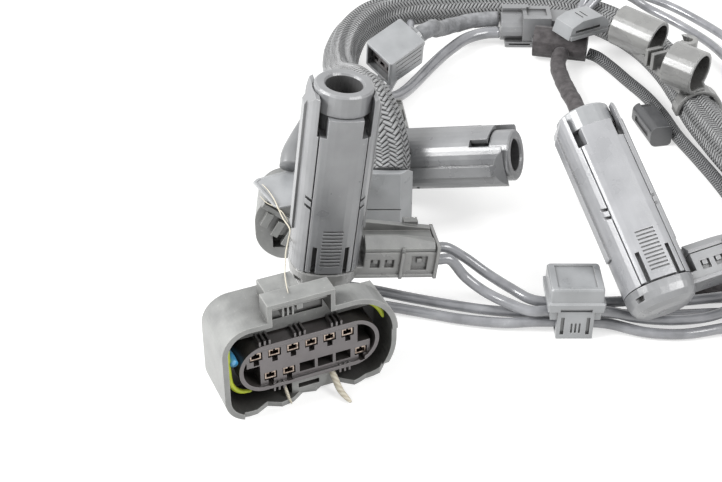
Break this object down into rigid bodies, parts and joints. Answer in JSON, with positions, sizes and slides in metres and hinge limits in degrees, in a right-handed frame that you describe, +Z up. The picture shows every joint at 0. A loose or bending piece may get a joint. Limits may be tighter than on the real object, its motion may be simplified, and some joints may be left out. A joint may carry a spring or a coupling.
{
  "type": "vehicle wiring harness",
  "caption": "Vehicle wiring harness with long round plugs on cable arms, a broken oval connector, small housings, clips, braided sleeves and wires.",
  "frame": {"origin": "middle of the underside of everything but the wires and sleeves, on the table the harness lies on", "axes": "+X to the right of the picture, +Y away from the viewer along the table, +Z up"},
  "size_m": [0.1866, 0.2402, 0.0746],
  "materials": {
    "black_plastic": "moulded, satin",
    "grey_plastic": "moulded, satin",
    "insert_plastic": "moulded, matt",
    "seal_rubber": "moulded, smooth",
    "contact_metal": "stamped and plated",
    "braid": "woven monofilament sleeve",
    "wire": "extruded, glossy",
    "tape": "wound tape, matt"
  },
  "bodies": {
    "root": {"plug_a_shell": "black_plastic", "plug_a_sleeve": "black_plastic", "plug_a_panel": "black_plastic", "plug_a_base": "black_plastic", "plug_a_arm_lid": "black_plastic", "plug_a_contact": "contact_metal", "plug_b_shell": "black_plastic", "plug_b_sleeve": "black_plastic", "plug_b_panel": "black_plastic", "plug_b_base": "black_plastic", "plug_b_arm_lid": "black_plastic", "plug_b_contact": "contact_metal", "plug_c_shell": "black_plastic", "plug_c_sleeve": "black_plastic", "plug_c_panel": "black_plastic", "plug_c_base": "black_plastic", "plug_c_arm_lid": "black_plastic", "plug_c_contact": "contact_metal", "oval_shroud": "grey_plastic", "oval_insert": "insert_plastic", "oval_seal": "seal_rubber", "oval_lock_slide": "grey_plastic", "oval_contact_1": "contact_metal", "oval_contact_2": "contact_metal", "oval_contact_3": "contact_metal", "oval_contact_4": "contact_metal", "oval_contact_5": "contact_metal", "oval_contact_6": "contact_metal", "oval_contact_7": "contact_metal", "oval_contact_8": "contact_metal", "oval_contact_9": "contact_metal", "rear_housing": "grey_plastic", "rear_block": "grey_plastic", "square_housing": "grey_plastic", "square_insert": "insert_plastic", "stepped_plug": "black_plastic", "clip_block": "grey_plastic", "cup_clip": "grey_plastic", "tab_clip": "grey_plastic", "clip_box_base": "grey_plastic", "clip_box_lid": "grey_plastic", "tape_wrap": "tape", "branch_wrap": "tape", "braid_main": "braid", "braid_thin": "braid", "branch_taped": "tape", "side_tube": "tape", "wire_glossy": "wire", "square_lead": "tape", "wire_upper_1": "wire", "wire_upper_2": "wire", "wire_a_1": "wire", "wire_a_2": "wire", "wire_oval_1": "wire", "wire_oval_2": "wire", "wire_c_1": "wire", "wire_c_2": "wire", "wire_b_1": "wire", "wire_b_2": "wire"}
  },
  "joints": []
}
